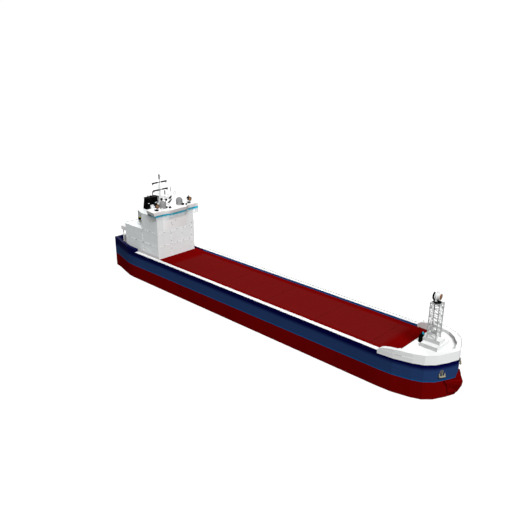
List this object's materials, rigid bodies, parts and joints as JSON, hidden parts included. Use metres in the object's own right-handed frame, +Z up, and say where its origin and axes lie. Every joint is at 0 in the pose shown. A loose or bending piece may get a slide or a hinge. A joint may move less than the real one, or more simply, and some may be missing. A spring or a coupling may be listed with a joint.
{
  "type": "scale model of a coastal bulk carrier, 1:10",
  "caption": "Coastal bulk carrier with straight-sided hull, bulbous bow, folding hatch covers over open holds, stern deckhouse with wheelhouse, radar mast and lattice foremast.",
  "frame": {"origin": "under the middle of the hull's length and width, on the flat keel plane that it stands on", "axes": "+X forward to the bow, +Y to port, +Z up"},
  "size_m": [8.338, 1.25, 2.252],
  "materials": {
    "red_bottom": "satin dark red antifouling paint",
    "red_deck": "matt dark red deck paint with fine texture",
    "navy": "satin navy blue paint",
    "white": "satin white paint",
    "black": "satin black paint",
    "grey": "matt grey radome shell",
    "anchor": "weathered grey-brown cast metal",
    "bronze": "polished bronze",
    "window": "blue-green tinted glass"
  },
  "bodies": {
    "hull": {"lower_stern": "red_bottom", "upper_stern": "navy", "stern_deck": "red_deck", "lower_bow": "red_bottom", "upper_bow": "navy", "fore_deck": "red_deck", "forecastle": "white", "double_bottom": "red_bottom", "lower_shell_starboard": "red_bottom", "lower_shell_port": "red_bottom", "upper_shell_starboard": "navy", "upper_shell_port": "navy", "ledge_starboard": "navy", "ledge_port": "navy", "cap_rail_starboard": "white", "cap_rail_port": "white", "cross_deck_1": "red_deck", "cross_deck_2": "red_deck", "cross_deck_3": "red_deck", "cross_deck_4": "red_deck", "deckhouse_lower": "white", "deckhouse_upper": "white", "mast_house": "white", "wheelhouse_walls": "white", "wheelhouse_glass": "window", "wheelhouse_roof": "white", "aft_gallery": "white", "funnel": "black", "radar_mast": "white", "upper_yard": "black", "lower_yard": "black", "radome_starboard": "grey", "radome_port": "grey", "mast_base": "white", "foremast": "white", "vent_post": "black", "anchor_starboard": "anchor", "anchor_port": "anchor"},
    "cover_1_aft": {"cover_1_aft": "red_deck"},
    "cover_1_middle": {"cover_1_middle": "red_deck"},
    "cover_1_fore": {"cover_1_fore": "red_deck"},
    "cover_2_aft": {"cover_2_aft": "red_deck"},
    "cover_2_middle": {"cover_2_middle": "red_deck"},
    "cover_2_fore": {"cover_2_fore": "red_deck"},
    "cover_3_aft": {"cover_3_aft": "red_deck"},
    "cover_3_middle": {"cover_3_middle": "red_deck"},
    "cover_3_fore": {"cover_3_fore": "red_deck"},
    "cover_4_aft": {"cover_4_aft": "red_deck"},
    "cover_4_middle": {"cover_4_middle": "red_deck"},
    "cover_4_fore": {"cover_4_fore": "red_deck"},
    "cover_5_aft": {"cover_5_aft": "red_deck"},
    "cover_5_middle": {"cover_5_middle": "red_deck"},
    "cover_5_fore": {"cover_5_fore": "red_deck"},
    "propeller": {"propeller": "bronze"},
    "rudder": {"rudder": "red_bottom"},
    "scanner_lower": {"scanner_lower": "black"},
    "scanner_upper": {"scanner_upper": "black"},
    "searchlight_starboard": {"searchlight_starboard": "black"},
    "searchlight_port": {"searchlight_port": "black"},
    "searchlight_foremast": {"searchlight_foremast": "black"}
  },
  "joints": [
    {"name": "cover_1_aft_hinge", "type": "hinge", "parent": "hull", "child": "cover_1_aft", "pos_m": [-2.22, 0, 0.5735], "axis": [0, -1, 0], "range_deg": [0, 85]},
    {"name": "cover_1_middle_hinge", "type": "hinge", "parent": "cover_1_aft", "child": "cover_1_middle", "pos_m": [-1.94, 0, 0.5475], "axis": [0, -1, 0], "range_deg": [-170, 0]},
    {"name": "cover_1_fore_hinge", "type": "hinge", "parent": "hull", "child": "cover_1_fore", "pos_m": [-1.38, 0, 0.5735], "axis": [0, 1, 0], "range_deg": [0, 85]},
    {"name": "cover_2_aft_hinge", "type": "hinge", "parent": "hull", "child": "cover_2_aft", "pos_m": [-1.1, 0, 0.5735], "axis": [0, -1, 0], "range_deg": [0, 85]},
    {"name": "cover_2_middle_hinge", "type": "hinge", "parent": "cover_2_aft", "child": "cover_2_middle", "pos_m": [-0.82, 0, 0.5475], "axis": [0, -1, 0], "range_deg": [-170, 0]},
    {"name": "cover_2_fore_hinge", "type": "hinge", "parent": "hull", "child": "cover_2_fore", "pos_m": [-0.26, 0, 0.5735], "axis": [0, 1, 0], "range_deg": [0, 85]},
    {"name": "cover_3_aft_hinge", "type": "hinge", "parent": "hull", "child": "cover_3_aft", "pos_m": [0.02, 0, 0.5735], "axis": [0, -1, 0], "range_deg": [0, 85]},
    {"name": "cover_3_middle_hinge", "type": "hinge", "parent": "cover_3_aft", "child": "cover_3_middle", "pos_m": [0.3, 0, 0.5475], "axis": [0, -1, 0], "range_deg": [-170, 0]},
    {"name": "cover_3_fore_hinge", "type": "hinge", "parent": "hull", "child": "cover_3_fore", "pos_m": [0.86, 0, 0.5735], "axis": [0, 1, 0], "range_deg": [0, 85]},
    {"name": "cover_4_aft_hinge", "type": "hinge", "parent": "hull", "child": "cover_4_aft", "pos_m": [1.14, 0, 0.5735], "axis": [0, -1, 0], "range_deg": [0, 85]},
    {"name": "cover_4_middle_hinge", "type": "hinge", "parent": "cover_4_aft", "child": "cover_4_middle", "pos_m": [1.42, 0, 0.5475], "axis": [0, -1, 0], "range_deg": [-170, 0]},
    {"name": "cover_4_fore_hinge", "type": "hinge", "parent": "hull", "child": "cover_4_fore", "pos_m": [1.98, 0, 0.5735], "axis": [0, 1, 0], "range_deg": [0, 85]},
    {"name": "cover_5_aft_hinge", "type": "hinge", "parent": "hull", "child": "cover_5_aft", "pos_m": [2.26, 0, 0.5735], "axis": [0, -1, 0], "range_deg": [0, 85]},
    {"name": "cover_5_middle_hinge", "type": "hinge", "parent": "cover_5_aft", "child": "cover_5_middle", "pos_m": [2.54, 0, 0.5475], "axis": [0, -1, 0], "range_deg": [-170, 0]},
    {"name": "cover_5_fore_hinge", "type": "hinge", "parent": "hull", "child": "cover_5_fore", "pos_m": [3.1, 0, 0.5735], "axis": [0, 1, 0], "range_deg": [0, 85]},
    {"name": "propeller_spin", "type": "hinge", "parent": "hull", "child": "propeller", "pos_m": [-3.87, 0, 0.135], "axis": [1, 0, 0], "continuous": true},
    {"name": "rudder_turn", "type": "hinge", "parent": "hull", "child": "rudder", "pos_m": [-4.01, 0, 0.2617], "axis": [0, 0, 1], "range_deg": [-35, 35]},
    {"name": "scanner_lower_spin", "type": "hinge", "parent": "hull", "child": "scanner_lower", "pos_m": [-2.6, 0, 1.7083], "axis": [0, 0, 1], "continuous": true},
    {"name": "scanner_upper_spin", "type": "hinge", "parent": "hull", "child": "scanner_upper", "pos_m": [-2.575, 0, 1.7945], "axis": [0, 0, 1], "continuous": true},
    {"name": "searchlight_starboard_pan", "type": "hinge", "parent": "hull", "child": "searchlight_starboard", "pos_m": [-2.4975, -0.433, 1.625], "axis": [0, 0, 1], "range_deg": [-170, 170]},
    {"name": "searchlight_port_pan", "type": "hinge", "parent": "hull", "child": "searchlight_port", "pos_m": [-2.4975, 0.433, 1.625], "axis": [0, 0, 1], "range_deg": [-170, 170]},
    {"name": "searchlight_foremast_pan", "type": "hinge", "parent": "hull", "child": "searchlight_foremast", "pos_m": [3.635, 0, 1.362], "axis": [0, 0, 1], "range_deg": [-170, 170]}
  ],
  "couplings": [
    {"joint": "cover_1_middle_hinge", "follows": "cover_1_aft_hinge", "ratio": -2},
    {"joint": "cover_2_middle_hinge", "follows": "cover_2_aft_hinge", "ratio": -2},
    {"joint": "cover_3_middle_hinge", "follows": "cover_3_aft_hinge", "ratio": -2},
    {"joint": "cover_4_middle_hinge", "follows": "cover_4_aft_hinge", "ratio": -2},
    {"joint": "cover_5_middle_hinge", "follows": "cover_5_aft_hinge", "ratio": -2}
  ]
}
